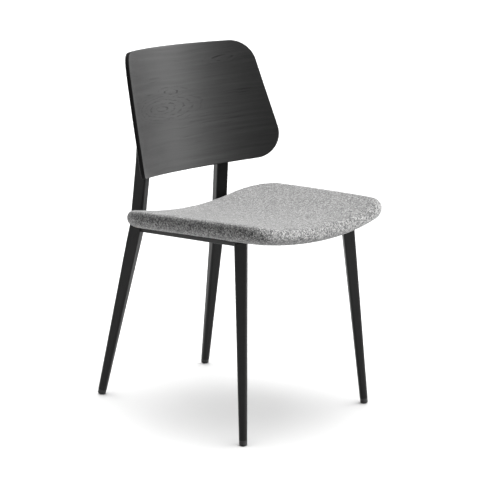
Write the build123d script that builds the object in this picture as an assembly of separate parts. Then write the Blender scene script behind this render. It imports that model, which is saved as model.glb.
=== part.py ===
from build123d import *
import os
from math import asin, atan, cos, degrees, hypot, radians, sin, sqrt

# Dining chair on four splayed, tapered steel legs. Millimetres, +Z up.
# The chair faces -Y, so +X is the sitter's left. The left side is modelled and
# mirrored in the YZ plane. At the end everything moves along Y, so that the
# origin lies on the floor under the centre of the overall box.

# ---- legs -------------------------------------------------------------------
TUBE = 28.0              # width of the rounded-square tube at seat height
TUBE_CORNER = 4.3        # its corner radius
TUBE_WALL = 1.6
FRONT_TIP = 17.5         # width of the tube at a foot, where it is nearly round
REAR_TIP = 18.9
TIP_SQUARE = 1.5         # how far the flats of a tip stop short of its round corners
BEND_HEIGHT = 412.8      # height at which a rear leg bends into its upright
TAPER_END = 40.0         # a rear leg's taper stops this far below its bend
FRONT_OVERRUN = 45.0     # a front leg is made this much longer, then cut by the seat
FRONT_FOOT = (200.4, -201.8)
FRONT_TOP = (172.6, -168.8)      # front leg axis at the bend height
FRONT_TURN = 52.0        # the outer flat of a front leg, degrees from facing forwards
REAR_TOP = (131.4, 194.0)        # rear leg axis at the bend height
REAR_SPLAY = 97.3        # how far a rear foot stands out from its bend
REAR_TURN = 23.5         # plane of the rear leg, degrees from the YZ plane
# Upright, in its own plane: offset from the bend (+ is outwards), and height.
LEAN_POINT = (-7.6, 480.0)
PRESS_START = (-15.8, 556.0)     # from here up the tube is pressed thinner
PRESS_END = (-12.8, 612.0)       # and from here it lies along the back panel
UPRIGHT_TOP = (4.1, 705.0)
PRESSED_DEPTH = 15.5
BEND_RADII = [160.0, 600.0]

# ---- glides -----------------------------------------------------------------
GLIDE_HEIGHT = 12.0
GLIDE_DOME = 14.0
GLIDE_FLAT_DROP = 1.2    # how deep the dome is cut by the floor plane
GLIDE_PLUG = 18.0
GLIDE_PLUG_GAP = 0.25

# ---- rails ------------------------------------------------------------------
RAIL_WIDTH = 15.0
RAIL_TALL = 10.0
RAIL_WALL = 1.5
RAIL_CORNER = 1.5
RAIL_REAR_Z = 400.0      # centre height of the side rail at the rear leg axis
RAIL_FRONT_Z = 429.6     # and at the front leg axis
RAIL_INSET = 5.5         # rail centre line, inboard of the leg axes
CROSSBAR_WIDTH = 30.0
CROSSBAR_THICK = 6.0
CROSSBAR_Y = {"front_crossbar": -100.0, "rear_crossbar": 105.0}

# ---- seat: layers of one shallow cylinder, raised at both sides ---------------
SEAT_HEIGHT = 429.2      # middle of the pad's thickness at X = Y = 0
SEAT_TILT = 3.27         # degrees, front edge higher
DISH_RADIUS = 965.0
SEAT_REAR = 174.0
SEAT_REAR_HALF = 234.4
SEAT_FRONT = -257.9      # where side and front edges would meet
SEAT_FRONT_HALF = 210.9
SEAT_FRONT_BOW = 15.8
SEAT_SIDE_BOW = 6.6
SEAT_REAR_CORNER = 92.0
SEAT_FRONT_CORNER = 56.0
PAD_HALF = 19.6
PAD_ROUND = 17.0
COVER_THICK = 1.2
SHELL_TOP = -6.0         # offsets from the pad's middle surface, + is up
SHELL_BOTTOM = -15.0
SHELL_INSET = 14.0
ROLL_WIDTH = 34.0        # the pad's edge wraps this far under the shell
FLAP_WIDTH = 14.0
FLAP_BOTTOM = -16.0
STAPLE_WIRE = 0.5
STAPLE_BROAD = 1.0
STAPLE_WIDTH = 10.0
STAPLE_LEG = 6.0
STAPLE_COUNT = 30
LINING_INSET = 38.0
LINING_TOP = -16.6
LINING_BOTTOM = -17.0
CROSSBAR_TOP = -18.0
LEG_TOP = -20.4          # the front legs stop short of the pad's rolled edge
CURVE_SLACK = 0.06       # lets flat washers and flanges lie on the curved layers
SEAT_SCREW_X = 95.0
BUFFER_RADIUS = 10.0

# ---- back panel ---------------------------------------------------------------
BACK_CENTRE = (0.0, 200.6, 655.7)    # middle of its front face
BACK_RECLINE = 11.2
BACK_RADIUS = 283.2      # of the front face, hollow towards the sitter
BACK_THICK = 9.0
BACK_HALF_HEIGHT = 137.8
BACK_TOP_HALF = 210.2    # half widths measured along the curve
BACK_BOTTOM_HALF = 260.2
BACK_TOP_BOW = 10.6
BACK_CORNER = 57.0
BACK_SCREW_HEIGHTS = (630.0, 687.0)

# ---- fasteners ----------------------------------------------------------------
SCREW = 6.0
SCREW_HOLE = 6.6
SCREW_HEAD = 11.0
SCREW_HEAD_TALL = 3.2
SCREW_HEAD_ROUND = 1.6
SOCKET_DEPTH = 1.8
SEAT_SCREW_LENGTH = 16.0
BACK_SCREW_LENGTH = 23.0
HEX_SOCKET = 4.0
NUT_BARREL = 8.0
NUT_FLANGE = 19.0
NUT_FLANGE_TALL = 1.4
NUT_BARREL_LENGTH = 8.0
INSERT_OUTER = 9.0
INSERT_LENGTH = 7.5
INSERT_GAP = 1.0         # from the upright to the mouth of the insert
SPACER_SIZE = 18.0
SPACER_THICK = 3.0       # before its front is shaped to the curved panel
CAP_THICK = 3.0
CAP_PLUG = 14.0
CAP_ROUND = 1.2

YZ = Plane.YZ
FAR = 400.0


def left_and_right(part):
    """A left-hand part and its mirror image."""
    return part, mirror(part, about=YZ)


def pair(name, part):
    left, right = left_and_right(part)
    return {f"{name}_left": left, f"{name}_right": right}


# ---- legs -------------------------------------------------------------------

def rounded_square(plane, width, corner):
    return plane * RectangleRounded(width, width, corner)


def tip_section(plane, width, wall):
    inner = width - 2 * wall
    return rounded_square(plane, inner, inner / 2 - TIP_SQUARE)


def tube_section(plane, wall):
    return rounded_square(plane, TUBE - 2 * wall, TUBE_CORNER - wall)


def pressed_section(plane, wall):
    return plane * RectangleRounded(TUBE - 2 * wall, PRESSED_DEPTH - 2 * wall, TUBE_CORNER - wall)


def tube_solids(make):
    """Outer solid and bore, from one function of the wall thickness."""
    return make(0.0), make(TUBE_WALL)


front_run = Vector(FRONT_TOP[0] - FRONT_FOOT[0], FRONT_TOP[1] - FRONT_FOOT[1], BEND_HEIGHT)
front_axis = front_run.normalized()
front_foot = Vector(FRONT_FOOT[0], FRONT_FOOT[1], 0)
front_side = Vector(cos(radians(FRONT_TURN)), sin(radians(FRONT_TURN)), 0)


def on_front_leg(height):
    return front_foot + front_axis * (height / front_axis.Z)


def front_leg_body(wall):
    foot = Plane(on_front_leg(GLIDE_HEIGHT), x_dir=front_side, z_dir=front_axis)
    top = Plane(on_front_leg(BEND_HEIGHT + FRONT_OVERRUN), x_dir=front_side, z_dir=front_axis)
    return loft([tip_section(foot, FRONT_TIP, wall), tube_section(top, wall)], ruled=True)


turn = radians(REAR_TURN)
rear_out = Vector(sin(turn), cos(turn), 0)
rear_side = Vector(cos(turn), -sin(turn), 0)


def in_rear_plane(offset, height):
    """A point in the plane of the left rear leg."""
    return Vector(REAR_TOP[0], REAR_TOP[1], height) + rear_out * offset


rear_foot = in_rear_plane(REAR_SPLAY, 0)
rear_bend = in_rear_plane(0, BEND_HEIGHT)
rear_axis = (rear_bend - rear_foot).normalized()
taper_end = rear_bend - rear_axis * TAPER_END


def on_rear_leg(height):
    return rear_foot + rear_axis * (height / rear_axis.Z)


lean_point = in_rear_plane(*LEAN_POINT)
press_start = in_rear_plane(*PRESS_START)
press_end = in_rear_plane(*PRESS_END)
upright_top = in_rear_plane(*UPRIGHT_TOP)
bend_path = FilletPolyline(taper_end, rear_bend, lean_point, press_start, radius=BEND_RADII)
upright_axis = (upright_top - press_end).normalized()
upright_back = upright_axis.cross(rear_side).normalized()
press_start_plane = Plane(press_start, x_dir=rear_side, z_dir=press_start - lean_point)
press_end_plane = Plane(press_end, x_dir=rear_side, z_dir=upright_axis)


def rear_leg_body(wall):
    foot = Plane(on_rear_leg(GLIDE_HEIGHT), x_dir=rear_side, z_dir=rear_axis)
    bend = Plane(taper_end, x_dir=rear_side, z_dir=rear_axis)
    lower = loft([tip_section(foot, REAR_TIP, wall), tube_section(bend, wall)], ruled=True)
    bent = sweep(tube_section(bend, wall), path=bend_path)
    pressed = pressed_section(press_end_plane, wall)
    transition = loft([tube_section(press_start_plane, wall), pressed], ruled=True)
    flat = extrude(pressed, (upright_top - press_end).length)
    return lower + bent + transition + flat


def glide(foot, axis, width):
    """Domed foot that plugs into the end of a tube, flat where it meets the floor."""
    radius = width / 2
    plug_radius = radius - TUBE_WALL - GLIDE_PLUG_GAP
    base = GLIDE_DOME - GLIDE_FLAT_DROP
    rise = GLIDE_DOME - sqrt(GLIDE_DOME**2 - radius**2)
    lowest = base - GLIDE_DOME
    shoulder = lowest + rise
    top = GLIDE_HEIGHT / axis.Z
    half_chord = hypot(radius, rise) / 2
    sagitta = GLIDE_DOME - sqrt(GLIDE_DOME**2 - half_chord**2)
    dome = SagittaArc((0, lowest), (radius, shoulder), -sagitta)
    rest = Polyline(
        (radius, shoulder), (radius, top), (plug_radius, top),
        (plug_radius, top + GLIDE_PLUG), (0, top + GLIDE_PLUG), (0, lowest),
    )
    turned = revolve(make_face(Plane.XZ * (dome + rest)), Axis.Z)
    above_floor = Pos(foot.X, foot.Y, FAR / 2) * Box(FAR, FAR, FAR)
    return Plane(foot, z_dir=axis) * turned & above_floor


# ---- seat surfaces ------------------------------------------------------------

tilt = radians(SEAT_TILT)
seat_plane = Plane((0, 0, SEAT_HEIGHT), x_dir=(1, 0, 0), z_dir=(0, sin(tilt), cos(tilt)))


def seat_layer(top, bottom):
    """Part of a hollow cylinder between two offsets from the pad's middle surface."""
    lower = Cylinder(DISH_RADIUS - bottom, 2 * FAR, rotation=(90, 0, 0))
    upper = Cylinder(DISH_RADIUS - top, 3 * FAR, rotation=(90, 0, 0))
    window = Pos(0, 0, -DISH_RADIUS) * Box(2 * FAR, 2 * FAR, FAR)
    return seat_plane * (Pos(0, 0, DISH_RADIUS) * ((lower - upper) & window))


def seat_outline(inset=0.0):
    """Plan of the seat, or of the same shape drawn in by an even margin."""
    rear_half = SEAT_REAR_HALF - inset
    front_half = SEAT_FRONT_HALF - inset
    rear_y = SEAT_REAR - inset
    tip_y = SEAT_FRONT - SEAT_FRONT_BOW + inset
    bow_radius = (SEAT_FRONT_HALF**2 + SEAT_FRONT_BOW**2) / (2 * SEAT_FRONT_BOW) - inset
    front_y = tip_y + bow_radius - sqrt(bow_radius**2 - front_half**2)
    middle_x = (rear_half + front_half) / 2 + SEAT_SIDE_BOW
    middle_y = (rear_y + front_y) / 2
    rear = Line((-rear_half, rear_y), (rear_half, rear_y))
    left = ThreePointArc(rear @ 1, (middle_x, middle_y), (front_half, front_y))
    front = ThreePointArc(left @ 1, (0, tip_y), (-front_half, front_y))
    right = ThreePointArc(front @ 1, (-middle_x, middle_y), rear @ 0)
    face = make_face(rear + left + front + right)
    rear_corners = [v for v in face.vertices() if v.Y > 0]
    face = fillet(rear_corners, SEAT_REAR_CORNER - inset)
    front_corners = [v for v in face.vertices() if v.Y < middle_y]
    return fillet(front_corners, SEAT_FRONT_CORNER - inset)


def seat_prism(inset):
    return seat_plane * extrude(seat_outline(inset), FAR / 4, both=True)


def seat_slab(inset, top, bottom):
    return seat_layer(top, bottom) & seat_prism(inset)


def pad_block(inset):
    slab = seat_slab(inset, PAD_HALF - inset, inset - PAD_HALF)
    rims = [e for e in slab.edges() if not is_upright(e)]
    return fillet(rims, PAD_ROUND - inset)


def is_upright(edge):
    return abs(edge.tangent_at(0.5).Z) > 0.7


def seat_point(x, y, drop):
    """Where an offset surface of the seat is, and the plane that lies on it."""
    lean = asin(x / DISH_RADIUS)
    radius = DISH_RADIUS - drop
    local = Plane(
        (radius * sin(lean), y, DISH_RADIUS - radius * cos(lean)),
        x_dir=(cos(lean), 0, sin(lean)), z_dir=(-sin(lean), 0, cos(lean)),
    )
    return seat_plane * local.location


# ---- back panel ---------------------------------------------------------------

recline = radians(BACK_RECLINE)
back_up = Vector(0, sin(recline), cos(recline))
back_plane = Plane(BACK_CENTRE, x_dir=(1, 0, 0), z_dir=back_up)


# Side edges of the unrolled panel: half width = BACK_MEAN_HALF - BACK_TAPER * height.
BACK_MEAN_HALF = (BACK_TOP_HALF + BACK_BOTTOM_HALF) / 2
BACK_TAPER = (BACK_BOTTOM_HALF - BACK_TOP_HALF) / (2 * BACK_HALF_HEIGHT)
BACK_BOW_RADIUS = (BACK_TOP_HALF**2 + BACK_TOP_BOW**2) / (2 * BACK_TOP_BOW)
BACK_BOW_CENTRE = BACK_HALF_HEIGHT + BACK_TOP_BOW - BACK_BOW_RADIUS


def back_tangent_plane(around, height):
    """Plane on the front face of the panel, a distance around the curve; y is up."""
    theta = around / BACK_RADIUS
    origin = (BACK_RADIUS * sin(theta), BACK_RADIUS * (cos(theta) - 1), height)
    return Plane(origin, x_dir=(cos(theta), -sin(theta), 0), z_dir=(-sin(theta), -cos(theta), 0))


def back_side_cut():
    """Everything beyond the left side edge, cut square to the curved face."""
    plane = back_tangent_plane(BACK_MEAN_HALF, 0)
    lean = degrees(atan(BACK_TAPER))
    beyond = Rot(0, 0, lean) * Pos(FAR / 2, 0, 0) * Box(FAR, 2 * FAR, FAR / 5)
    return plane * beyond


def back_corner_cut(around, height, toward_side, toward_edge):
    """What lies outside one rounded corner, square to the curved face."""
    reach = 1.25 * BACK_CORNER
    diagonal = (toward_side + toward_edge).normalized() * (2.2 * BACK_CORNER)
    side_point = toward_side * reach
    edge_point = toward_edge * reach
    kite = Polyline((0, 0), side_point, diagonal, edge_point, close=True)
    outside = make_face(kite) - Circle(BACK_CORNER)
    return back_tangent_plane(around, height) * extrude(outside, 3 * BACK_THICK, both=True)


def back_corner_cuts():
    slant = hypot(1, BACK_TAPER)
    corner_reach = BACK_RADIUS * asin(BACK_CORNER / BACK_RADIUS)
    inner = BACK_MEAN_HALF - corner_reach * slant
    toward_side = Vector(1, BACK_TAPER, 0) / slant
    low = BACK_CORNER - BACK_HALF_HEIGHT
    # The top corner is tangent to the side edge and to the bowed top edge.
    linear = inner * BACK_TAPER + BACK_BOW_CENTRE
    reach = BACK_BOW_RADIUS - BACK_CORNER
    constant = inner**2 + BACK_BOW_CENTRE**2 - reach**2
    high = (linear + sqrt(linear**2 - slant**2 * constant)) / slant**2
    high_around = inner - BACK_TAPER * high
    toward_top = Vector(high_around, high - BACK_BOW_CENTRE, 0).normalized()
    bottom = back_corner_cut(inner - BACK_TAPER * low, low, toward_side, Vector(0, -1, 0))
    top = back_corner_cut(high_around, high, toward_side, toward_top)
    return [bottom, top]


def back_panel_blank():
    """The curved panel in its own frame, with square edges."""
    tall = 2 * FAR
    curved = Cylinder(BACK_RADIUS + BACK_THICK, tall) - Cylinder(BACK_RADIUS, tall)
    blank = Pos(0, -BACK_RADIUS, 0) * curved
    blank &= Pos(0, FAR - BACK_RADIUS / 2, 0) * Box(2 * FAR, 2 * FAR, 2 * FAR)
    blank &= Pos(0, 0, FAR - BACK_HALF_HEIGHT) * Box(2 * FAR, 2 * FAR, 2 * FAR)
    half_chord = BACK_RADIUS * sin(BACK_TOP_HALF / BACK_RADIUS)
    bow = (half_chord**2 + BACK_TOP_BOW**2) / (2 * BACK_TOP_BOW)
    crown_height = BACK_HALF_HEIGHT + BACK_TOP_BOW - bow
    blank &= Pos(0, 0, crown_height) * Cylinder(bow, tall, rotation=(90, 0, 0))
    for cut in [back_side_cut()] + back_corner_cuts():
        blank -= cut
        blank -= mirror(cut, about=YZ)
    return blank


# ---- fasteners ----------------------------------------------------------------
# Each is made with the joint face at z = 0 and the screw head below it.

def ring(outer, bore, tall):
    return Cylinder(outer, tall) - Cylinder(bore, tall)


def screw(length):
    """Button-head screw, shank up from z = 0, hexagon socket in the head."""
    shank = Pos(0, 0, length / 2) * Cylinder(SCREW / 2, length)
    head = Pos(0, 0, -SCREW_HEAD_TALL / 2) * Cylinder(SCREW_HEAD / 2, SCREW_HEAD_TALL)
    head = fillet(head.edges().sort_by(Axis.Z)[0], SCREW_HEAD_ROUND)
    hexagon = RegularPolygon(HEX_SOCKET / 2, 6, major_radius=False)
    return shank + head - Pos(0, 0, -SCREW_HEAD_TALL) * extrude(hexagon, SOCKET_DEPTH)


def t_nut(barrel):
    """Flange at z = 0 and up, barrel below it."""
    flange = Pos(0, 0, NUT_FLANGE_TALL / 2) * Cylinder(NUT_FLANGE / 2, NUT_FLANGE_TALL)
    body = flange + Pos(0, 0, -barrel / 2) * Cylinder(NUT_BARREL / 2, barrel)
    return body - Cylinder(SCREW / 2, 4 * barrel)


# ---- assembly ------------------------------------------------------------------

# Legs
front_solid, front_bore = tube_solids(front_leg_body)
rear_solid, rear_bore = tube_solids(rear_leg_body)
front_solid -= seat_layer(PAD_HALF, LEG_TOP)
front_leg = front_solid - front_bore

# The back panel and what fastens it to the uprights
panel = back_plane * back_panel_blank()


def upright_station(height):
    """Plane on the upright's axis at a height, z pointing forwards to the panel."""
    origin = upright_top + upright_axis * ((height - upright_top.Z) / upright_axis.Z)
    return Plane(origin, x_dir=rear_side, z_dir=-upright_back)


stations = [upright_station(height) for height in BACK_SCREW_HEIGHTS]
front_flat = PRESSED_DEPTH / 2
pad = Box(SPACER_SIZE, SPACER_SIZE, SPACER_THICK) - Cylinder(SCREW_HOLE / 2, SPACER_THICK)
spacers = [station * (Pos(0, 0, front_flat + SPACER_THICK / 2) * pad) - panel for station in stations]
back_screws = [station * (Pos(0, 0, -front_flat) * screw(BACK_SCREW_LENGTH)) for station in stations]
barrel = Pos(0, 0, front_flat + INSERT_LENGTH / 2 + INSERT_GAP)
barrel *= ring(INSERT_OUTER / 2, SCREW / 2, INSERT_LENGTH)
inserts = [(station * barrel) & panel for station in stations]
pocket = Pos(0, 0, front_flat) * Cylinder(INSERT_OUTER / 2, 2 * (INSERT_LENGTH + INSERT_GAP))
for station in stations:
    rear_solid -= station * Cylinder(SCREW_HOLE / 2, 2 * PRESSED_DEPTH)
    for cut in left_and_right(station * pocket):
        panel -= cut
rear_leg = rear_solid - rear_bore

top_plane = Plane(upright_top, x_dir=rear_side, z_dir=upright_axis)
cap = extrude(pressed_section(top_plane, 0), CAP_THICK)
cap = fillet(cap.faces().sort_by(Axis.Z)[-1].edges(), CAP_ROUND)
cap += extrude(pressed_section(top_plane, TUBE_WALL), -CAP_PLUG)

# Rails
rail_rear = Vector(on_rear_leg(RAIL_REAR_Z).X, on_rear_leg(RAIL_REAR_Z).Y, RAIL_REAR_Z)
rail_front = Vector(on_front_leg(RAIL_FRONT_Z).X, on_front_leg(RAIL_FRONT_Z).Y, RAIL_FRONT_Z)


def rail_prism(section, start, end, sideways):
    along = (end - start).normalized()
    plane = Plane(start, x_dir=sideways, z_dir=along)
    return extrude(plane * section, (end - start).length)


def rail_tube(start, end, sideways):
    outer = RectangleRounded(RAIL_WIDTH, RAIL_TALL, RAIL_CORNER)
    inner_width = RAIL_WIDTH - 2 * RAIL_WALL
    hollow = RectangleRounded(inner_width, RAIL_TALL - 2 * RAIL_WALL, RAIL_CORNER / 3)
    return rail_prism(outer - hollow, start, end, sideways)


rail_run = rail_front - rail_rear
outboard = Vector(-rail_run.Y, rail_run.X, 0).normalized()
rail_start = rail_rear - outboard * RAIL_INSET
rail_end = rail_front - outboard * RAIL_INSET
side_rail = rail_tube(rail_start, rail_end, outboard)
beside_rail = rail_prism(Rectangle(RAIL_WIDTH, 4 * PAD_HALF), rail_start, rail_end, outboard)
side_rail = side_rail - front_solid - rear_solid
side_rail = side_rail.solids().sort_by(SortBy.VOLUME)[-1]

far_end = Vector(-rail_rear.X, rail_rear.Y, RAIL_REAR_Z)
rear_rail = rail_tube(far_end, rail_rear, Vector(0, 1, 0))
for leg in left_and_right(rear_solid):
    rear_rail -= leg
rear_rail = rear_rail.solids().sort_by(SortBy.VOLUME)[-1]

# Seat layers
shell = seat_slab(SHELL_INSET, SHELL_TOP, SHELL_BOTTOM)
recess = seat_layer(SHELL_BOTTOM, -2 * PAD_HALF)
cover_outer = pad_block(0) - (recess & seat_prism(ROLL_WIDTH))
cover_inner = pad_block(COVER_THICK) - (recess & seat_prism(ROLL_WIDTH - COVER_THICK))
flap = seat_slab(ROLL_WIDTH - COVER_THICK, SHELL_BOTTOM, FLAP_BOTTOM)
flap -= seat_prism(ROLL_WIDTH + FLAP_WIDTH)
cover = cover_outer - cover_inner + flap
foam = cover_inner - shell
lining = seat_slab(LINING_INSET, LINING_TOP, LINING_BOTTOM)

seat_spots = [(x, y) for y in CROSSBAR_Y.values() for x in (-SEAT_SCREW_X, SEAT_SCREW_X)]
nuts = []
seat_screws = []
buffers = []
for x, y in seat_spots:
    nuts.append(seat_point(x, y, SHELL_TOP + CURVE_SLACK) * t_nut(NUT_BARREL_LENGTH))
    under_bar = seat_point(x, y, CROSSBAR_TOP - CROSSBAR_THICK)
    seat_screws.append(under_bar * screw(SEAT_SCREW_LENGTH))
    buffer_tall = LINING_BOTTOM - CROSSBAR_TOP - 2 * CURVE_SLACK
    middle = seat_point(x, y, (LINING_BOTTOM + CROSSBAR_TOP) / 2)
    buffers.append(middle * ring(BUFFER_RADIUS, SCREW_HOLE / 2, buffer_tall))
    lining -= middle * Cylinder(SCREW_HOLE / 2, PAD_HALF)
    on_shell = seat_point(x, y, SHELL_TOP)
    shell -= on_shell * Cylinder(NUT_BARREL / 2, 2 * PAD_HALF)
    foam -= on_shell * Cylinder(NUT_FLANGE / 2, 2 * (NUT_FLANGE_TALL + CURVE_SLACK))

crossbars = {}
for name, y in CROSSBAR_Y.items():
    bar = seat_layer(CROSSBAR_TOP, CROSSBAR_TOP - CROSSBAR_THICK)
    bar &= seat_plane * Pos(0, y, 0) * Box(2 * FAR, CROSSBAR_WIDTH, FAR)
    for rail in left_and_right(beside_rail):
        bar -= rail
    bar = bar.solids().sort_by(Axis.X)[1]
    for x, spot_y in seat_spots:
        if spot_y == y:
            bar -= seat_point(x, y, CROSSBAR_TOP) * Cylinder(SCREW_HOLE / 2, 2 * PAD_HALF)
    crossbars[name] = bar



def staple():
    """Flat-wire staple, legs up from z = 0."""
    made = Pos(0, 0, -STAPLE_WIRE / 2) * Box(STAPLE_WIDTH, STAPLE_BROAD, STAPLE_WIRE)
    for side in (-1, 1):
        out = side * (STAPLE_WIDTH - STAPLE_WIRE) / 2
        made += Pos(out, 0, STAPLE_LEG / 2 - STAPLE_WIRE) * Box(STAPLE_WIRE, STAPLE_BROAD, STAPLE_LEG)
    return made


staple_line = seat_outline(ROLL_WIDTH + FLAP_WIDTH / 2).wire()
staples = []
for index in range(STAPLE_COUNT):
    where = staple_line.location_at(index / STAPLE_COUNT)
    across = staple_line.tangent_at(index / STAPLE_COUNT)
    spot = seat_point(where.position.X, where.position.Y, FLAP_BOTTOM)
    spin = degrees(asin(max(-1, min(1, across.Y))))
    staples.append(spot * Rot(0, 0, spin if across.X > 0 else -spin) * staple())


def both_sides(parts):
    """Left-hand pieces and their mirror images, as one group of separate solids."""
    return Compound([item for part in parts for item in left_and_right(part)])


nodes = {
    **pair("front_leg", front_leg),
    **pair("rear_leg", rear_leg),
    **pair("side_rail", side_rail),
    "rear_rail": rear_rail,
    **crossbars,
    **pair("front_glide", glide(front_foot, front_axis, FRONT_TIP)),
    **pair("rear_glide", glide(rear_foot, rear_axis, REAR_TIP)),
    **pair("upright_cap", cap),
    "seat_shell": shell,
    "seat_foam": foam,
    "seat_cover": cover,
    "seat_lining": lining,
    "cover_staples": Compound(staples),
    "seat_t_nuts": Compound(nuts),
    "seat_screws": Compound(seat_screws),
    "seat_buffers": Compound(buffers),
    "back_panel": panel,
    "back_spacers": both_sides(spacers),
    "back_screws": both_sides(back_screws),
    "back_inserts": both_sides(inserts),
}

boxes = [node.bounding_box() for node in nodes.values()]
front_end = min(box.min.Y for box in boxes)
rear_end = max(box.max.Y for box in boxes)
centring = Pos(0, -(front_end + rear_end) / 2, 0)

os.makedirs("parts", exist_ok=True)
for name, node in nodes.items():
    export_step(centring * node, f"parts/{name}.step")
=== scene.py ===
import math

import bpy
import numpy as np
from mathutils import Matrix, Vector, noise


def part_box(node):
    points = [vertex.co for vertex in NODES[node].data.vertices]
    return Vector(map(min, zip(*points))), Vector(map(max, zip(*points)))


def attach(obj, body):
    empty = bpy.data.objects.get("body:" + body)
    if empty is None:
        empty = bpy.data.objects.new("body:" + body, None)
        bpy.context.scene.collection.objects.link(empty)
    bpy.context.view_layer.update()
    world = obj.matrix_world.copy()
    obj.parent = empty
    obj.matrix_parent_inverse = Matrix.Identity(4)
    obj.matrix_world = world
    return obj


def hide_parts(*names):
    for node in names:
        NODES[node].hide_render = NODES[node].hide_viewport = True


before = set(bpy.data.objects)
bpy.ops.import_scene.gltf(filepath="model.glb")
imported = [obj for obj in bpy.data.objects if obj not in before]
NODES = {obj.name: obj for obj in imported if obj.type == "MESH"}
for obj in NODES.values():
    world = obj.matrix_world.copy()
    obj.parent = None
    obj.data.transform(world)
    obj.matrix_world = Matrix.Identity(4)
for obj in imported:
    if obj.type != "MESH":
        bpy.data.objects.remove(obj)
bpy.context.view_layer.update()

# All lengths are in metres, apart from the lens, which is in millimetres. Angles given as
# plain numbers are in degrees.

# View.
VIEW_AZIMUTH = -46.17
VIEW_ELEVATION = 13.2
VIEW_DISTANCE = 4.043
VIEW_AIM = Vector((0.0, -0.0093, 0.384))
VIEW_LENS = 135.4
VIEW_SENSOR = 36.0
VIEW_LIMIT = 200.0       # further than the far edge of the floor
FLOOR_RADIUS = 60.0

# Light. Each direction points from the chair toward the light.
KEY_TOWARD = (0.587, -0.492, 0.643)
KEY_STRENGTH = 8.8
KEY_SPREAD = 45
OVERHEAD_TOWARD = (0.1, 0.0, 1.0)
OVERHEAD_STRENGTH = 9.6
OVERHEAD_SPREAD = 80
BRIGHT_SIDE = (0.966, 0.26, 0.0)
ROOM_STRENGTH = (0.02, 1.25)    # opposite to the bright side, and on it
ROOM_CHANGE = (-0.65, 0.6)      # where the change begins and ends, along the bright side's direction

# Seat pad. It follows one shallow cylinder that is raised at both sides.
SEAT_LOW, SEAT_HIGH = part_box("seat_cover")
ORIGIN_Y = -0.00925      # where the seat and back are measured from, from the chair's middle
SEAT_ORIGIN = Vector((0.0, ORIGIN_Y, 0.4292))
SEAT_TILT = math.radians(3.27)
DISH_RADIUS = 0.965
SEAT_FRONT_HALF = 0.2109
SEAT_REAR_HALF = 0.2344
SEAT_SIDE_BOW = 0.0066
SEAT_FRONT_BOW = 0.0158
SEAT_REAR_CORNER = 0.092
SEAT_FRONT_CORNER = 0.056
PAD_HALF = 0.0196        # half the thickness
TOP_RADIUS = 0.800       # the top is hollower than the shell
TOP_DROP = 0.0022        # and thinner in the middle
TOP_REACH = 0.019        # how far in from the rim the rounding of the top edge goes
EDGE_REACH = 0.026       # and of the bottom edge
SIDE_LIFT = 0.0020       # the bottom edge lies higher along the sides than in front
SIDE_FULLER = 0.005      # and is rounded less
SIDE_ACROSS = (0.12, 0.20)      # the side edge begins between these distances from the middle
SIDE_ALONG = (-0.19, -0.10)     # and between these places behind the front edge

COVER_SHRINK = 0.0008    # leaves room for the cover to swell
COVER_UNDER = -0.0162    # the cover's underside, from the pad's middle surface
COVER_ROLL = (0.030, 0.036)     # how far in from the rim the rolled edge ends
COVER_HELD_BELOW = -0.004       # the cover is held fast below this height
COVER_HELD_INSIDE = 0.022       # and further in from the rim than this
COVER_SWELL = 0.005      # the most that any point of it moves
FELT_HEIGHT = 0.0003
FELT_SCALE = 190.0
FOAM_SHRINK = 0.0055
FOAM_UNDER = -0.0057
FOAM_ROLL = (0.009, 0.0135)
LINING_INSET = 0.038
LINING_LEVEL = -0.0168
LINING_SAG = 0.0008
LINING_SAG_REACH = 0.05  # how far in from the stapled edge the sag is complete
LINING_RIPPLE = 0.0002
LINING_WAVES = (210, 170)       # radians per metre, across and along

# Back panel.
BACK_CENTRE = Vector((0.0, 0.2006 + ORIGIN_Y, 0.6557))
BACK_RECLINE = math.radians(11.2)
BACK_RADIUS = 0.2832
BACK_THICK = 0.009
BACK_HALF_HEIGHT = 0.1378
BACK_TOP_HALF = 0.2102
BACK_BOTTOM_HALF = 0.2602
BACK_TOP_BOW = 0.0106
BACK_CORNER = 0.057
BACK_EDGE_ROUND = 0.0016
BACK_FACE_LAYER = 0.0002        # deeper than this, a face of the panel belongs to its sawn edge
KNOTS = [(-0.010, 0.050, 0.016), (-0.050, 0.016, 0.040), (0.140, 0.112, 0.014)]    # around, up, reach
KNOT_RING = 0.0065       # from one dark line around a knot to the next

# Fineness of the meshes.
ARC_STEPS = 24           # points on each rounded corner of an outline
CURVE_STEPS = 500        # points on each long side of the seat, before they are evened out
EDGE_STEPS = 14          # rings on each quarter of the pad's rounded edge
PAD_SHARES = np.linspace(0.02, 1.0, 22)      # rings from the middle of the pad to the rounding
BACK_SHARES = np.linspace(0.015, 1.0, 30)    # and of the panel


# ---- mesh helpers -----------------------------------------------------------

def mesh_object(name, points, faces, smooth=True):
    mesh = bpy.data.meshes.new(name)
    mesh.from_pydata([tuple(p) for p in points], [], faces)
    mesh.update()
    if smooth:
        mesh.shade_smooth()
    else:
        mesh.shade_flat()
    piece = bpy.data.objects.new(name, mesh)
    bpy.context.scene.collection.objects.link(piece)
    return piece


def smoothstep(low, high, value):
    share = np.clip((value - low) / (high - low), 0.0, 1.0)
    return share * share * (3 - 2 * share)


def ring_faces(rings, count):
    """Quads between successive closed rings of the same length."""
    faces = []
    for first in range(0, (rings - 1) * count, count):
        for i in range(count):
            j = (i + 1) % count
            faces.append((first + i, first + j, first + count + j, first + count + i))
    return faces


def closed_rings(name, rings, place):
    """Mesh of closed rings, capped at both ends."""
    count = len(rings[0])
    total = len(rings) * count
    faces = ring_faces(len(rings), count)
    faces.append(tuple(range(count))[::-1])
    faces.append(tuple(range(total - count, total)))
    return mesh_object(name, place(np.vstack(rings)), faces)


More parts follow.
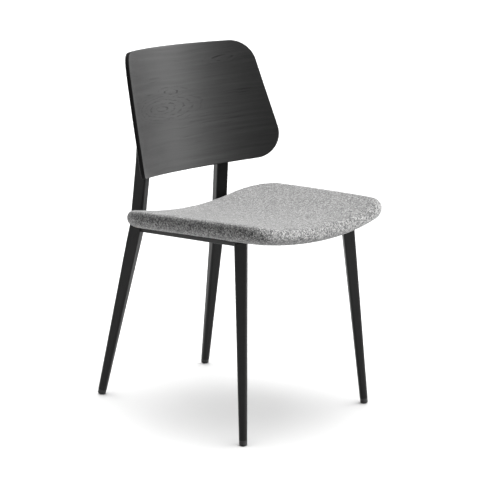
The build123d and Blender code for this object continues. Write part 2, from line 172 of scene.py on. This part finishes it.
def inward_normals(line, closed=True):
    """Unit vectors to the left of an anticlockwise line."""
    if closed:
        tangent = np.roll(line, -1, axis=0) - np.roll(line, 1, axis=0)
    else:
        tangent = np.gradient(line, axis=0)
    tangent /= np.linalg.norm(tangent, axis=1)[:, None]
    return np.column_stack([-tangent[:, 1], tangent[:, 0]])


def inward_distance(points, outline):
    """Distance of each point from the outline."""
    run = np.roll(outline, -1, axis=0) - outline
    offset = points[:, None, :] - outline[None]
    share = np.clip((offset * run[None]).sum(2) / (run**2).sum(1)[None], 0, 1)
    gap = offset - share[..., None] * run[None]
    return np.sqrt((gap**2).sum(2)).min(1)


def resample(points, count):
    """Evenly spaced points along a closed line."""
    closed = np.vstack([points, points[:1]])
    steps = np.r_[0, np.cumsum(np.linalg.norm(np.diff(closed, axis=0), axis=1))]
    wanted = np.linspace(0, steps[-1], count, endpoint=False)
    return np.column_stack([np.interp(wanted, steps, closed[:, k]) for k in (0, 1)])


def mirrored(right):
    """The whole outline, from its right half."""
    return np.vstack([right, right[::-1] * [-1, 1]])


def angle_of(vector):
    return math.atan2(vector[1], vector[0])


def arc_points(centre, radius, angles):
    return centre + radius * np.column_stack([np.cos(angles), np.sin(angles)])


def arc_through(start, middle, end):
    """Points of the circular arc from start to end by way of middle."""
    rows = np.array([middle - start, end - start])
    centre = start + np.linalg.solve(rows, (rows**2).sum(axis=1) / 2)
    first = angle_of(start - centre)
    turn = (angle_of(end - centre) - first + math.pi) % (2 * math.pi) - math.pi
    angles = first + turn * np.linspace(0, 1, CURVE_STEPS)
    return arc_points(centre, np.linalg.norm(start - centre), angles)


def round_corner(before, after, radius):
    """Joins two curves that meet in a corner with a tangent arc."""
    track_before = before + inward_normals(before, closed=False) * radius
    track_after = after + inward_normals(after, closed=False) * radius
    gaps = np.linalg.norm(track_before[:, None] - track_after[None], axis=2)
    i, j = np.unravel_index(gaps.argmin(), gaps.shape)
    centre = (track_before[i] + track_after[j]) / 2
    first = angle_of(before[i] - centre)
    turn = (angle_of(after[j] - centre) - first) % (2 * math.pi)
    arc = arc_points(centre, radius, first + turn * np.linspace(0, 1, ARC_STEPS))
    return np.vstack([before[:i], arc]), after[j + 1:]


def corner_arc(start, corner, end, radius):
    """Points of the arc that rounds a corner between two straight runs."""
    back = (start - corner) / np.linalg.norm(start - corner)
    ahead = (end - corner) / np.linalg.norm(end - corner)
    half = math.acos(float(np.clip(back @ ahead, -1, 1))) / 2
    centre = corner + (back + ahead) / np.linalg.norm(back + ahead) * radius / math.sin(half)
    first = corner + back * radius / math.tan(half) - centre
    last = corner + ahead * radius / math.tan(half) - centre
    sweep = math.pi - 2 * half
    share = np.linspace(0, 1, ARC_STEPS)[:, None]
    return centre + (np.sin((1 - share) * sweep) * first + np.sin(share * sweep) * last) / math.sin(sweep)


# ---- seat -------------------------------------------------------------------

def seat_outline(count, inset=0.0):
    """Plan of the seat, anticlockwise from the middle of the front edge."""
    rear_y = SEAT_HIGH.y - SEAT_ORIGIN.y
    front_y = SEAT_LOW.y - SEAT_ORIGIN.y
    front_middle = np.array([0.0, front_y])
    front_corner = np.array([SEAT_FRONT_HALF, front_y + SEAT_FRONT_BOW])
    rear_corner = np.array([SEAT_REAR_HALF, rear_y])
    side_middle = (front_corner + rear_corner) / 2 + [SEAT_SIDE_BOW, 0]
    front = arc_through(front_corner * [-1, 1], front_middle, front_corner)
    front = front[front[:, 0] >= 0]
    side = arc_through(front_corner, side_middle, rear_corner)
    rear = np.linspace(rear_corner, [0.0, rear_y], CURVE_STEPS)
    front, side = round_corner(front, side, SEAT_FRONT_CORNER)
    side, rear = round_corner(side, rear, SEAT_REAR_CORNER)
    line = resample(mirrored(np.vstack([front, side, rear])), count)
    return line + inward_normals(line) * inset


def middle_of(plan):
    return np.array([0.0, (plan[:, 1].max() + plan[:, 1].min()) / 2])


def dish(x, radius):
    """How far a hollow cylinder rises beside its lowest line."""
    return radius - np.sqrt(radius**2 - x**2)


def seat_place(points):
    """From the pad's own tilted plane to the row frame."""
    x, y, z = points.T
    z = z + dish(x, DISH_RADIUS)
    cosine, sine = math.cos(SEAT_TILT), math.sin(SEAT_TILT)
    placed = np.column_stack([x, y * cosine + z * sine, z * cosine - y * sine])
    return placed + np.array(SEAT_ORIGIN)


def off_the_seat(points):
    """From the row frame back to the pad's own tilted plane."""
    x, y, z = (points - np.array(SEAT_ORIGIN)).T
    cosine, sine = math.cos(SEAT_TILT), math.sin(SEAT_TILT)
    return np.column_stack([x, y * cosine - z * sine, z * cosine + y * sine - dish(x, DISH_RADIUS)])


def pad_points(plan, shrink, under, roll):
    """Rings of the closed pad, from the middle of the top, over the rim, to the middle below.

    Further in from the rim than roll, the underside lies at the height under."""
    top = PAD_HALF - shrink
    side = smoothstep(*SIDE_ACROSS, np.abs(plan[:, 0])) * smoothstep(*SIDE_ALONG, plan[:, 1])
    bottom = top - SIDE_LIFT * side
    bottom_reach = (EDGE_REACH - SIDE_FULLER * side)[:, None]
    inward = inward_normals(plan)
    middle = middle_of(plan)

    def level(reach, height, share=1.0):
        inner = plan + inward * (reach + shrink)
        return np.column_stack([middle + (inner - middle) * share, np.full(len(plan), height)])

    def quarter(reach, height, angles):
        return [level(reach * (1 - math.cos(a)), height * math.sin(a)) for a in angles]

    upper = [level(TOP_REACH, top, share) for share in PAD_SHARES]
    upper += quarter(TOP_REACH, top, np.linspace(math.pi / 2, 0, EDGE_STEPS)[1:])
    lower = quarter(bottom_reach, bottom, np.linspace(0, -math.pi / 2, EDGE_STEPS)[1:-1])
    lower += [level(bottom_reach, -bottom, share) for share in PAD_SHARES[::-1]]
    for ring in upper:
        x = ring[:, 0]
        hollow = dish(x, TOP_RADIUS) - dish(x, DISH_RADIUS) - TOP_DROP
        ring[:, 2] += hollow * ring[:, 2] / top
    for ring in lower:
        lift = smoothstep(*roll, inward_distance(ring[:, :2], plan))
        ring[:, 2] += (under - ring[:, 2]) * lift
    return upper + lower


def pad_mesh(name, count, shrink, under, roll):
    return closed_rings(name, pad_points(seat_outline(count), shrink, under, roll), seat_place)


def lining_mesh(name, count=160):
    """One layer of thin cloth that sags a little inside its stapled edge, and its cut outline."""
    edge = seat_outline(count, LINING_INSET)
    middle = middle_of(edge)
    rings = []
    for share in np.linspace(1.0, 0.02, 40):
        flat = middle + (edge - middle) * share
        sag = LINING_SAG * smoothstep(0.0, LINING_SAG_REACH, inward_distance(flat, edge))
        across, along = (flat * LINING_WAVES).T
        ripple = LINING_RIPPLE * np.sin(across) * np.sin(along + 1.0)
        rings.append(np.column_stack([flat, LINING_LEVEL - sag + ripple]))
    total = len(rings) * count
    faces = ring_faces(len(rings), count)
    faces.append(tuple(range(total - count, total)))
    return mesh_object(name, seat_place(np.vstack(rings)), faces), edge


# ---- back panel ---------------------------------------------------------------

def back_outline(count):
    """The unrolled outline: x around the curve, y up."""
    top = np.array([BACK_TOP_HALF, BACK_HALF_HEIGHT])
    bottom = np.array([BACK_BOTTOM_HALF, -BACK_HALF_HEIGHT])
    lower_arc = corner_arc(bottom * [0, 1], bottom, top, BACK_CORNER)
    upper_arc = corner_arc(bottom, top, top * [0, 1], BACK_CORNER)
    line = resample(mirrored(np.vstack([lower_arc, upper_arc])), 4 * count)
    share = np.clip(line[:, 1] / BACK_HALF_HEIGHT, 0, 1)
    line[:, 1] += BACK_TOP_BOW * share * (1 - (line[:, 0] / BACK_TOP_HALF) ** 2)
    return resample(line, count)


def back_place(points):
    """Rolls (around, up, depth) up to the curved panel and leans it back."""
    around, up, depth = points.T
    radius = BACK_RADIUS + depth
    x = radius * np.sin(around / BACK_RADIUS)
    y = radius * np.cos(around / BACK_RADIUS) - BACK_RADIUS
    cosine, sine = math.cos(BACK_RECLINE), math.sin(BACK_RECLINE)
    placed = np.column_stack([x, y * cosine + up * sine, up * cosine - y * sine])
    return placed + np.array(BACK_CENTRE)


def back_mesh(name, count=320):
    """The panel. Its faces have material 0, and its sawn edge has material 1."""
    plan = back_outline(count)
    inward = inward_normals(plan)
    inner = plan + inward * BACK_EDGE_ROUND
    rings = [np.column_stack([inner * share, np.zeros(count)]) for share in BACK_SHARES]
    for turn in np.linspace(0, math.pi, 13)[1:-1]:
        flat = plan + inward * BACK_EDGE_ROUND * (1 - math.sin(turn))
        depth = BACK_EDGE_ROUND * (1 - math.cos(turn))
        if turn > math.pi / 2:
            depth += BACK_THICK - 2 * BACK_EDGE_ROUND
        rings.append(np.column_stack([flat, np.full(count, depth)]))
    rings += [np.column_stack([inner * share, np.full(count, BACK_THICK)]) for share in BACK_SHARES[::-1]]
    points = np.vstack(rings)
    piece = closed_rings(name, rings, back_place)
    grain = piece.data.attributes.new("grain_place", "FLOAT_VECTOR", "POINT")
    grain.data.foreach_set("vector", points.astype(np.float32).ravel())
    for face in piece.data.polygons:
        depth = points[list(face.vertices), 2].mean()
        face.material_index = int(BACK_FACE_LAYER < depth < BACK_THICK - BACK_FACE_LAYER)
    return piece


# ---- cloth ----------------------------------------------------------------------

def mesh_vectors(piece, name="co"):
    flat = np.empty(len(piece.data.vertices) * 3, np.float32)
    piece.data.vertices.foreach_get(name, flat)
    return flat.reshape(-1, 3).astype(float)


def set_points(piece, points):
    piece.data.vertices.foreach_set("co", points.astype(np.float32).ravel())
    piece.data.update()


def apply_modifiers(piece):
    graph = bpy.context.evaluated_depsgraph_get()
    made = bpy.data.meshes.new_from_object(piece.evaluated_get(graph), depsgraph=graph)
    piece.modifiers.clear()
    old = piece.data
    piece.data = made
    bpy.data.meshes.remove(old)
    piece.data.shade_smooth()


def under_the_pad(points):
    """True for the points that are glued or stapled to the shell's underside."""
    local = off_the_seat(points)
    gap = inward_distance(local[:, :2], seat_outline(160))
    return (local[:, 2] < COVER_HELD_BELOW) & (gap > COVER_HELD_INSIDE)


def settle_cover(piece, pressure=4.0, frames=20, voxel=0.005):
    """Remeshes a pad and lets cloth pressure fill it out, scaled so that it swells a little."""
    remesh = piece.modifiers.new("remesh", "REMESH")
    remesh.mode = "VOXEL"
    remesh.voxel_size = voxel
    apply_modifiers(piece)
    rest = mesh_vectors(piece)
    hold = piece.vertex_groups.new(name="hold")
    hold.add([int(i) for i in np.flatnonzero(under_the_pad(rest))], 1.0, "REPLACE")
    cloth = piece.modifiers.new("cloth", "CLOTH")
    settings = cloth.settings
    settings.quality = 6
    settings.mass = 0.4
    settings.tension_stiffness = 30
    settings.compression_stiffness = 30
    settings.shear_stiffness = 8
    settings.bending_stiffness = 2.0
    settings.use_pressure = True
    settings.uniform_pressure_force = pressure
    settings.vertex_group_mass = hold.name
    settings.effector_weights.gravity = 0
    cloth.point_cache.frame_start = 1
    cloth.point_cache.frame_end = frames
    scene = bpy.context.scene
    for number in range(1, frames + 1):
        scene.frame_set(number)
    apply_modifiers(piece)
    moved = mesh_vectors(piece) - rest
    moved *= COVER_SWELL / np.linalg.norm(moved, axis=1).max()
    set_points(piece, rest + moved)
    scene.frame_set(1)


def subdivide(piece):
    modifier = piece.modifiers.new("smooth", "SUBSURF")
    modifier.levels = 1
    modifier.render_levels = 1
    apply_modifiers(piece)


def ruffle(piece):
    """Raises and sinks the surface a little, as felted wool does."""
    normals = mesh_vectors(piece, "normal")
    points = mesh_vectors(piece)
    waves = np.array([noise.noise(Vector(p) * FELT_SCALE) for p in points])
    set_points(piece, points + normals * (waves * FELT_HEIGHT)[:, None])


# ---- material helpers -------------------------------------------------------------

class Nodes:
    """Short way to add nodes to one material."""

    SOCKETS = {
        "color": "Base Color", "roughness": "Roughness", "normal": "Normal", "metallic": "Metallic",
        "specular": "Specular IOR Level", "coat": "Coat Weight", "coat_roughness": "Coat Roughness",
        "sheen": "Sheen Weight", "sheen_roughness": "Sheen Roughness"}

    def __init__(self, name, **constants):
        self.material = bpy.data.materials.new(name)
        self.material.use_nodes = True
        self.tree = self.material.node_tree
        self.shader = self.tree.nodes["Principled BSDF"]
        self.out(**constants)

    def out(self, **values):
        """Sets the shader's own sockets, to constants or to the ends of node chains."""
        for key, value in values.items():
            self.feed(value, self.shader.inputs[self.SOCKETS[key]])
        return self.material

    def feed(self, value, socket):
        if isinstance(value, bpy.types.NodeSocket):
            self.tree.links.new(value, socket)
        else:
            socket.default_value = value

    def add(self, kind, inputs, **settings):
        node = self.tree.nodes.new("ShaderNode" + kind)
        for key, value in settings.items():
            setattr(node, key, value)
        for key, value in inputs.items():
            self.feed(value, node.inputs[key])
        return node

    def place(self):
        return self.add("TexCoord", {}).outputs["Object"]

    def attribute(self, name):
        return self.add("Attribute", {}, attribute_name=name).outputs["Vector"]

    def scaled(self, vector, scale):
        return self.add("Mapping", {"Vector": vector, "Scale": scale}).outputs["Vector"]

    def vector_math(self, operation, *values):
        return self.add("VectorMath", dict(enumerate(values)), operation=operation).outputs

    def calc(self, operation, *values):
        return self.add("Math", dict(enumerate(values)), operation=operation).outputs["Value"]

    def noise(self, vector, scale, detail=3.0, roughness=0.55):
        return self.add("TexNoise", {
            "Vector": vector, "Scale": scale, "Detail": detail, "Roughness": roughness}).outputs["Fac"]

    def cells(self, vector, scale):
        return self.add("TexVoronoi", {"Vector": vector, "Scale": scale}).outputs

    def ramp(self, value, stops):
        """Turns a value into a colour; a stop's colour is a grey level or a triple."""
        node = self.add("ValToRGB", {"Fac": value})
        elements = node.color_ramp.elements
        while len(elements) < len(stops):
            elements.new(1.0)
        for element, (place, shade) in zip(elements, stops):
            element.position = place
            element.color = (shade, shade, shade, 1) if isinstance(shade, float) else (*shade, 1)
        return node.outputs["Color"]

    def fit(self, value, start, end, low=0.0, high=1.0):
        """Maps start...end to low...high, and no further."""
        return self.add("MapRange", {
            "Value": value, "From Min": start, "From Max": end,
            "To Min": low, "To Max": high}).outputs["Result"]

    def mix(self, factor, first, second):
        node = self.add("Mix", {}, data_type="RGBA")
        self.feed(factor, node.inputs[0])
        for value, socket in ((first, node.inputs[6]), (second, node.inputs[7])):
            self.feed((*value, 1) if isinstance(value, tuple) else value, socket)
        return node.outputs[2]

    def bump(self, height, strength, distance, base=None):
        inputs = {"Height": height, "Strength": strength, "Distance": distance}
        if base is not None:
            inputs["Normal"] = base
        return self.add("Bump", inputs).outputs["Normal"]


# ---- materials ----------------------------------------------------------------------

def powder_coat():
    """Black powder coat: fine texture over faint orange peel."""
    m = Nodes("powder_coat", specular=0.22)
    place = m.place()
    grain = m.noise(place, 900.0, 2.0, 0.6)
    peel = m.noise(place, 260.0, 2.0)
    shade = m.ramp(m.noise(place, 14.0), [(0.3, 0.0045), (0.7, 0.0065)])
    rough = m.fit(grain, 0.3, 0.7, 0.36, 0.5)
    fine = m.bump(grain, 0.12, 0.0002)
    return m.out(color=shade, roughness=rough, normal=m.bump(peel, 0.10, 0.0005, fine))


def plastic(name, shade, roughness):
    m = Nodes(name)
    place = m.place()
    grain = m.noise(place, 1400.0, 2.0)
    color = m.ramp(m.noise(place, 60.0), [(0.3, shade * 0.85), (0.7, shade * 1.2)])
    rough = m.fit(grain, 0.3, 0.7, roughness - 0.06, roughness + 0.08)
    return m.out(color=color, roughness=rough, normal=m.bump(grain, 0.15, 0.0002))


def metal(name, tint, roughness):
    """Plated or blackened steel with fine scratches."""
    m = Nodes(name, metallic=1.0)
    place = m.place()
    scratch = m.noise(m.scaled(place, (900.0, 900.0, 60.0)), 1.0, 2.0)
    color = m.mix(m.noise(place, 120.0), tuple(c * 0.8 for c in tint), tint)
    rough = m.fit(scratch, 0.3, 0.7, roughness * 0.8, roughness * 1.3)
    return m.out(color=color, roughness=rough, normal=m.bump(scratch, 0.1, 0.0001))


def melange_wool():
    """Grey wool cloth: light and dark yarns felted together, with a soft nap."""
    m = Nodes("melange_wool", roughness=0.92, specular=0.2, sheen=0.25, sheen_roughness=0.5)
    place = m.place()
    drift = m.noise(place, 240.0, 2.0)
    stray = m.add("TexNoise", {"Vector": place, "Scale": 220.0}).outputs["Color"]
    wander = m.vector_math("MULTIPLY_ADD", stray, (0.004, 0.004, 0.004), place)["Vector"]
    loops = m.cells(wander, 430.0)
    fleck = m.calc("FRACT", m.calc("MULTIPLY", loops["Color"], 7.31))
    fibre = m.noise(m.scaled(wander, (1.0, 2.2, 1.0)), 800.0, 3.0, 0.7)
    tone = m.calc("MULTIPLY_ADD", fibre, 0.30, m.calc("MULTIPLY", fleck, 0.60))
    tone = m.calc("MULTIPLY_ADD", drift, 0.40, tone)
    color = m.ramp(tone, [(0.27, (0.020, 0.020, 0.021)), (0.48, (0.068, 0.068, 0.068)),
                          (0.70, (0.142, 0.142, 0.141)), (0.95, (0.28, 0.279, 0.274))])
    height = m.calc("MULTIPLY_ADD", fibre, 0.5, m.calc("SUBTRACT", 1.0, loops["Distance"]))
    return m.out(color=color, normal=m.bump(height, 0.55, 0.0012))


def knot(m, place, around, up, reach):
    """Dark oval rings that die away around one spot of the grain."""
    offset = m.vector_math("SUBTRACT", place, (around, up, 0.0))["Vector"]
    distance = m.vector_math("LENGTH", m.scaled(offset, (0.25, 1.0, 0.0)))["Value"]
    rough = m.noise(m.scaled(place, (30.0, 120.0, 1.0)), 1.0, 2.0)
    uneven = m.calc("MULTIPLY_ADD", rough, 0.006, distance)
    lines = m.fit(m.calc("SINE", m.calc("MULTIPLY", uneven, 2 * math.pi / KNOT_RING)), 0.35, 0.95)
    broken = m.fit(m.noise(m.scaled(place, (45.0, 160.0, 1.0)), 1.0, 1.0), 0.40, 0.62)
    fade = m.fit(distance, reach * 0.4, reach, 1.0, 0.0)
    return m.calc("MULTIPLY", m.calc("MULTIPLY", lines, broken), fade)


def stained_wood():
    """Black stained veneer under satin lacquer; the grain runs around the panel."""
    m = Nodes("stained_wood", specular=0.27, coat=0.12, coat_roughness=0.45)
    place = m.attribute("grain_place")
    wave = m.noise(m.scaled(place, (5.0, 12.0, 1.0)), 1.0, 2.0)
    shift = m.add("CombineXYZ", {"Y": m.calc("MULTIPLY", wave, 0.016)}).outputs["Vector"]
    bent = m.vector_math("ADD", place, shift)["Vector"]
    rings = m.noise(m.scaled(bent, (4.0, 120.0, 4.0)), 1.0, 4.0, 0.6)
    pores = m.noise(m.scaled(bent, (22.0, 1300.0, 30.0)), 1.0, 3.0, 0.6)
    tone = m.calc("MULTIPLY_ADD", pores, 0.4, m.calc("MULTIPLY", rings, 0.6))
    figure = m.ramp(tone, [(0.36, 0.013), (0.50, 0.019), (0.64, 0.026)])
    streaks = m.fit(m.noise(m.scaled(bent, (9.0, 230.0, 4.0)), 1.0, 2.0), 0.40, 0.29)
    patches = m.fit(m.noise(m.scaled(place, (9.0, 16.0, 1.0)), 1.0, 1.0), 0.47, 0.64)
    dark = m.calc("MULTIPLY", streaks, patches)
    for spot in KNOTS:
        dark = m.calc("MAXIMUM", dark, knot(m, bent, *spot))
    color = m.mix(dark, figure, (0.003, 0.003, 0.003))
    rough = m.calc("MULTIPLY_ADD", dark, 0.22, m.fit(pores, 0.3, 0.7, 0.42, 0.58))
    height = m.calc("MULTIPLY_ADD", dark, -0.5, tone)
    return m.out(color=color, roughness=rough, normal=m.bump(height, 0.3, 0.0005))


def edge_with_painted_shade():
    """Sawn edge of the panel with its ply layers: painted shade, a colour darker than the faces because
    this edge faces away from the light; dull.
    """
    m = Nodes("edge_with_painted_shade", roughness=0.7, specular=0.08)
    layers = m.noise(m.scaled(m.attribute("grain_place"), (30.0, 30.0, 900.0)), 1.0, 2.0)
    color = m.ramp(layers, [(0.35, 0.0025), (0.65, 0.006)])
    return m.out(color=color, normal=m.bump(layers, 0.2, 0.0003))


def raw_plywood():
    m = Nodes("raw_plywood", roughness=0.6)
    grain = m.noise(m.scaled(m.place(), (30.0, 700.0, 400.0)), 1.0, 4.0, 0.6)
    color = m.ramp(grain, [(0.3, (0.42, 0.30, 0.19)), (0.7, (0.66, 0.52, 0.36))])
    return m.out(color=color, normal=m.bump(grain, 0.2, 0.0003))


def soft_foam():
    m = Nodes("soft_foam", roughness=0.95)
    holes = m.cells(m.place(), 900.0)["Distance"]
    color = m.ramp(holes, [(0.0, (0.55, 0.52, 0.40)), (0.6, (0.84, 0.80, 0.66))])
    return m.out(color=color, normal=m.bump(holes, 0.6, 0.0008))


def lining_cloth():
    m = Nodes("lining_cloth", roughness=0.9)
    place = m.place()
    dots = m.cells(place, 700.0)["Distance"]
    haze = m.noise(place, 90.0, 4.0)
    tone = m.calc("MULTIPLY_ADD", haze, 0.5, m.calc("MULTIPLY", dots, 0.5))
    color = m.ramp(tone, [(0.2, 0.012), (0.8, 0.035)])
    return m.out(color=color, normal=m.bump(dots, 0.4, 0.0003))


def floor_paint():
    return Nodes("floor_paint", color=(0.42, 0.42, 0.42, 1), roughness=0.9, specular=0.0).material


# ---- pieces -----------------------------------------------------------------------------

def stand_in(piece, node, slot, *materials):
    """Puts a made piece in the place of a CAD node."""
    for material in materials:
        piece.data.materials.append(material)
    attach(piece, "root")
    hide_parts(node)


def dress(material, *nodes):
    """Gives carried-over CAD nodes their finished material."""
    for node in nodes:
        for slot in NODES[node].material_slots:
            slot.material = material


def pair(name):
    """The left and the right node."""
    return name + "_left", name + "_right"


cushion = pad_mesh("seat_cushion", 220, COVER_SHRINK, COVER_UNDER, COVER_ROLL)
settle_cover(cushion)
subdivide(cushion)
ruffle(cushion)
stand_in(cushion, "seat_cover", "cover_fabric", melange_wool())

core = pad_mesh("seat_foam_core", 120, FOAM_SHRINK, FOAM_UNDER, FOAM_ROLL)
stand_in(core, "seat_foam", "foam", soft_foam())

lining, cut_edge = lining_mesh("dust_lining")
stand_in(lining, "seat_lining", "lining", lining_cloth())

panel = back_mesh("curved_back")
stand_in(panel, "back_panel", "stained_plywood", stained_wood(), edge_with_painted_shade())

dress(powder_coat(), *pair("front_leg"), *pair("rear_leg"), *pair("side_rail"),
      "rear_rail", "front_crossbar", "rear_crossbar")
dress(plastic("glide_plastic", 0.012, 0.5),
      *pair("front_glide"), *pair("rear_glide"), *pair("upright_cap"))
dress(plastic("black_rubber", 0.018, 0.75), "seat_buffers", "back_spacers")
dress(raw_plywood(), "seat_shell")
dress(metal("zinc_plate", (0.62, 0.62, 0.60), 0.35), "seat_t_nuts", "back_inserts")
dress(metal("staple_wire", (0.6, 0.6, 0.6), 0.3), "cover_staples")
dress(metal("black_oxide", (0.05, 0.05, 0.052), 0.4), "seat_screws", "back_screws")


# ---- stage, light and camera ----------------------------------------------------------------

def disc(name, radius, count=96):
    angles = np.linspace(0, 2 * math.pi, count, endpoint=False)
    points = [(radius * math.cos(a), radius * math.sin(a), 0.0) for a in angles]
    return mesh_object(name, points, [tuple(range(count))], smooth=False)


def sun(name, toward, strength, spread, receivers, state):
    """Soft distant light that lights only its receivers (INCLUDE), or all but them (EXCLUDE)."""
    data = bpy.data.lights.new(name, "SUN")
    data.energy = strength
    data.angle = math.radians(spread)
    lamp = bpy.data.objects.new(name, data)
    lamp.rotation_euler = Vector(toward).to_track_quat("Z", "Y").to_euler()
    bpy.context.scene.collection.objects.link(lamp)
    group = bpy.data.collections.new(name + " receivers")
    for piece in receivers:
        group.objects.link(piece)
    for link in group.collection_objects:
        link.light_linking.link_state = state
    lamp.light_linking.receiver_collection = group


def studio_room():
    """World that is bright behind and to the right of the chair, and dark around the camera."""
    world = bpy.data.worlds.new("studio")
    world.use_nodes = True
    tree = world.node_tree
    coords = tree.nodes.new("ShaderNodeTexCoord")
    toward_bright = tree.nodes.new("ShaderNodeVectorMath")
    toward_bright.operation = "DOT_PRODUCT"
    toward_bright.inputs[1].default_value = BRIGHT_SIDE
    strength = tree.nodes.new("ShaderNodeMapRange")
    strength.interpolation_type = "SMOOTHSTEP"
    strength.inputs["From Min"].default_value = ROOM_CHANGE[0]
    strength.inputs["From Max"].default_value = ROOM_CHANGE[1]
    strength.inputs["To Min"].default_value = ROOM_STRENGTH[0]
    strength.inputs["To Max"].default_value = ROOM_STRENGTH[1]
    background = tree.nodes["Background"]
    background.inputs["Color"].default_value = (1, 1, 1, 1)
    tree.links.new(coords.outputs["Generated"], toward_bright.inputs[0])
    tree.links.new(toward_bright.outputs["Value"], strength.inputs["Value"])
    tree.links.new(strength.outputs["Result"], background.inputs["Strength"])
    return world


def aimed_camera():
    azimuth = math.radians(VIEW_AZIMUTH)
    elevation = math.radians(VIEW_ELEVATION)
    back = Vector((math.sin(azimuth) * math.cos(elevation),
                   -math.cos(azimuth) * math.cos(elevation), math.sin(elevation)))
    data = bpy.data.cameras.new("camera")
    data.lens = VIEW_LENS
    data.sensor_width = VIEW_SENSOR
    data.clip_end = VIEW_LIMIT
    camera = bpy.data.objects.new("camera", data)
    camera.location = VIEW_AIM + back * VIEW_DISTANCE
    camera.rotation_euler = back.to_track_quat("Z", "Y").to_euler()
    bpy.context.scene.collection.objects.link(camera)
    return camera


floor = disc("floor", FLOOR_RADIUS)
floor.data.materials.append(floor_paint())

# The key light would throw a long shadow, so a light from above lights the floor instead.
sun("key", KEY_TOWARD, KEY_STRENGTH, KEY_SPREAD, [floor], "EXCLUDE")
sun("overhead", OVERHEAD_TOWARD, OVERHEAD_STRENGTH, OVERHEAD_SPREAD, [floor], "INCLUDE")
bpy.context.scene.world = studio_room()
bpy.context.scene.view_settings.view_transform = "Standard"
bpy.context.scene.camera = aimed_camera()
